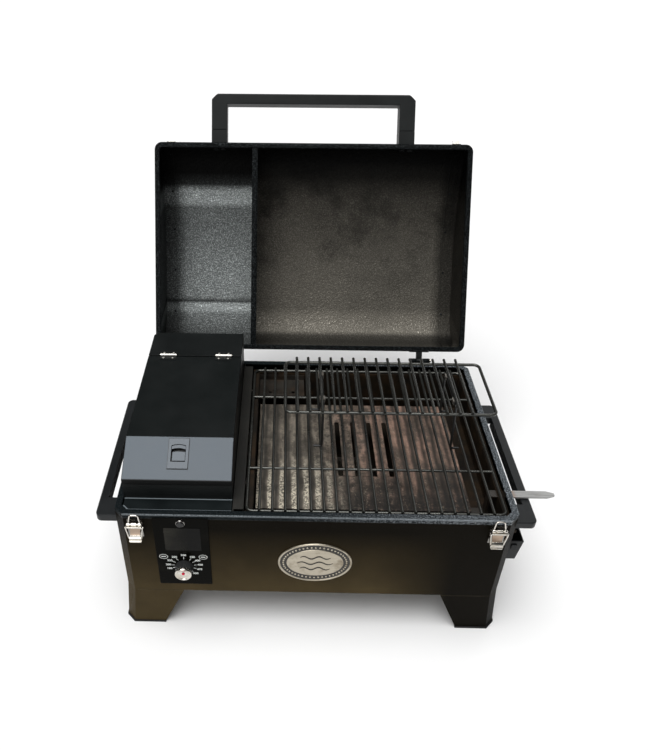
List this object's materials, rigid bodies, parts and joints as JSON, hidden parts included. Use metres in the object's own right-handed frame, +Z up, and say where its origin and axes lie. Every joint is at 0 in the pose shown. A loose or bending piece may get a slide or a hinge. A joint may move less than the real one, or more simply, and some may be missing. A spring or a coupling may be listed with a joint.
{
  "type": "pellet smoker grill",
  "caption": "Portable table-top pellet smoker with a hinged lid, side hopper, lift-out grates, draw latches and a knob control on the front.",
  "frame": {"origin": "on the table, under the middle of the outline seen from above with the lid open", "axes": "+X to the user's right as they face the control panel, +Y to the back, +Z up"},
  "size_m": [0.686, 0.7126, 0.6629],
  "materials": {
    "powder_black": "satin fine-texture powder coat",
    "hammered_black": "hammered heat-proof enamel",
    "porcelain_wire": "porcelain enamel on wire",
    "burnt_steel": "heat-stained steel with soot",
    "plain_steel": "zinc plated",
    "chrome": "bright",
    "rubber": "matt",
    "black_plastic": "moulded, fine texture",
    "gloss_panel": "gloss black",
    "board_green": "circuit board",
    "badge_metal": "brushed",
    "zinc": "zinc plated",
    "grey_panel": "satin powder coat"
  },
  "bodies": {
    "base": {"base_shell": "powder_black", "floor_pan": "plain_steel", "divider_wall": "powder_black", "hopper_deck": "powder_black", "power_inlet": "black_plastic", "legs": "powder_black", "foot_strips": "rubber", "side_handles": "black_plastic", "badge_plate": "badge_metal", "cup_hanger": "zinc", "firebox_liner": "burnt_steel", "burn_pot": "plain_steel", "burn_grate": "plain_steel", "igniter_rod": "plain_steel", "temperature_probe": "plain_steel", "broiler_plate": "burnt_steel", "grease_trough": "burnt_steel", "rear_bracket": "burnt_steel", "hopper_bin": "powder_black", "hopper_guard": "plain_steel", "hopper_cover": "powder_black", "hopper_cover_leaves": "powder_black", "auger_tube": "plain_steel", "auger_motor": "plain_steel", "fan_housing": "black_plastic", "control_panel": "gloss_panel", "control_box": "black_plastic", "control_board": "board_green", "latch_bases": "chrome", "lid_hinge_base_leaves": "chrome", "hinge_pins": "chrome"},
    "lid": {"lid_skin": "hammered_black", "lid_end_panels": "hammered_black", "lid_rim": "hammered_black", "lid_partition": "hammered_black", "lid_handle": "black_plastic", "lid_handle_posts": "black_plastic", "lid_hinge_leaves": "powder_black", "lid_catches": "chrome"},
    "hopper_lid_body": {"hopper_lid": "grey_panel", "hopper_lid_leaves": "powder_black", "hopper_latch_frame": "black_plastic"},
    "hopper_thumb": {"hopper_thumb_slide": "black_plastic"},
    "slider": {"flame_slider": "burnt_steel", "slider_strip": "zinc"},
    "cup": {"grease_cup": "powder_black"},
    "grate": {"main_grate": "porcelain_wire"},
    "rack": {"upper_rack": "porcelain_wire", "rack_clips": "plain_steel"},
    "rack_leg_l": {"rack_leg_left": "porcelain_wire"},
    "rack_leg_r": {"rack_leg_right": "porcelain_wire"},
    "auger": {"auger_screw": "plain_steel"},
    "impeller": {"fan_impeller": "black_plastic"},
    "knob": {"knob_skirt": "black_plastic", "knob_cap": "chrome"},
    "button": {"power_button": "chrome"},
    "lever_l": {"latch_lever_left": "chrome"},
    "lever_r": {"latch_lever_right": "chrome"},
    "bail_l": {"latch_bail_left": "chrome"},
    "bail_r": {"latch_bail_right": "chrome"}
  },
  "joints": [
    {"name": "lid_hinge", "type": "hinge", "parent": "base", "child": "lid", "pos_m": [-0.019, 0.06124, 0.2515], "axis": [-1, 0, 0], "range_deg": [-118.9, 0]},
    {"name": "hopper_lid_hinge", "type": "hinge", "parent": "base", "child": "hopper_lid_body", "pos_m": [-0.221, -0.03726, 0.3267], "axis": [-1, 0, 0], "range_deg": [0, 105]},
    {"name": "hopper_thumb_slide", "type": "slide", "parent": "hopper_lid_body", "child": "hopper_thumb", "axis": [0, -0.8878, -0.4602], "range_m": [0, 0.006], "stiffness_N_per_m": 120, "springref_m": -0.002},
    {"name": "flame_slide", "type": "slide", "parent": "base", "child": "slider", "axis": [1, 0, 0], "range_m": [-0.01385, 0]},
    {"name": "grease_cup_lift", "type": "slide", "parent": "base", "child": "cup", "axis": [0, 0, 1], "range_m": [0, 0.011]},
    {"name": "main_grate_lift", "type": "slide", "parent": "base", "child": "grate", "axis": [0, 0, 1], "range_m": [0, 0.12]},
    {"name": "upper_rack_lift", "type": "slide", "parent": "grate", "child": "rack", "axis": [0, 0, 1], "range_m": [0, 0.08]},
    {"name": "rack_leg_left_fold", "type": "hinge", "parent": "rack", "child": "rack_leg_l", "pos_m": [-0.0055, -0.12476, 0.33], "axis": [0, -1, 0], "range_deg": [0, 85]},
    {"name": "rack_leg_right_fold", "type": "hinge", "parent": "rack", "child": "rack_leg_r", "pos_m": [0.2005, -0.12476, 0.33], "axis": [0, 1, 0], "range_deg": [0, 85]},
    {"name": "auger_turn", "type": "hinge", "parent": "base", "child": "auger", "pos_m": [-0.277, -0.13626, 0.1155], "axis": [1, 0, 0], "continuous": true},
    {"name": "fan_turn", "type": "hinge", "parent": "base", "child": "impeller", "pos_m": [-0.229, -0.02426, 0.0967], "axis": [0, 0, 1], "continuous": true},
    {"name": "knob_turn", "type": "hinge", "parent": "base", "child": "knob", "pos_m": [-0.215, -0.34626, 0.147], "axis": [0, 1, 0], "range_deg": [-130, 130]},
    {"name": "power_button_press", "type": "slide", "parent": "base", "child": "button", "axis": [0, 1, 0], "range_m": [0, 0.0015], "stiffness_N_per_m": 300, "springref_m": -0.001},
    {"name": "latch_lever_left_swing", "type": "hinge", "parent": "base", "child": "lever_l", "pos_m": [-0.281, -0.34376, 0.2375], "axis": [-1, 0, 0], "range_deg": [0, 150]},
    {"name": "latch_bail_left_swing", "type": "hinge", "parent": "lever_l", "child": "bail_l", "pos_m": [-0.281, -0.34376, 0.2305], "axis": [1, 0, 0], "range_deg": [0, 150]},
    {"name": "latch_lever_right_swing", "type": "hinge", "parent": "base", "child": "lever_r", "pos_m": [0.243, -0.34376, 0.2375], "axis": [-1, 0, 0], "range_deg": [0, 150]},
    {"name": "latch_bail_right_swing", "type": "hinge", "parent": "lever_r", "child": "bail_r", "pos_m": [0.243, -0.34376, 0.2305], "axis": [1, 0, 0], "range_deg": [0, 150]}
  ],
  "couplings": [
    {"joint": "latch_bail_left_swing", "follows": "latch_lever_left_swing", "ratio": 1},
    {"joint": "latch_bail_right_swing", "follows": "latch_lever_right_swing", "ratio": 1}
  ]
}
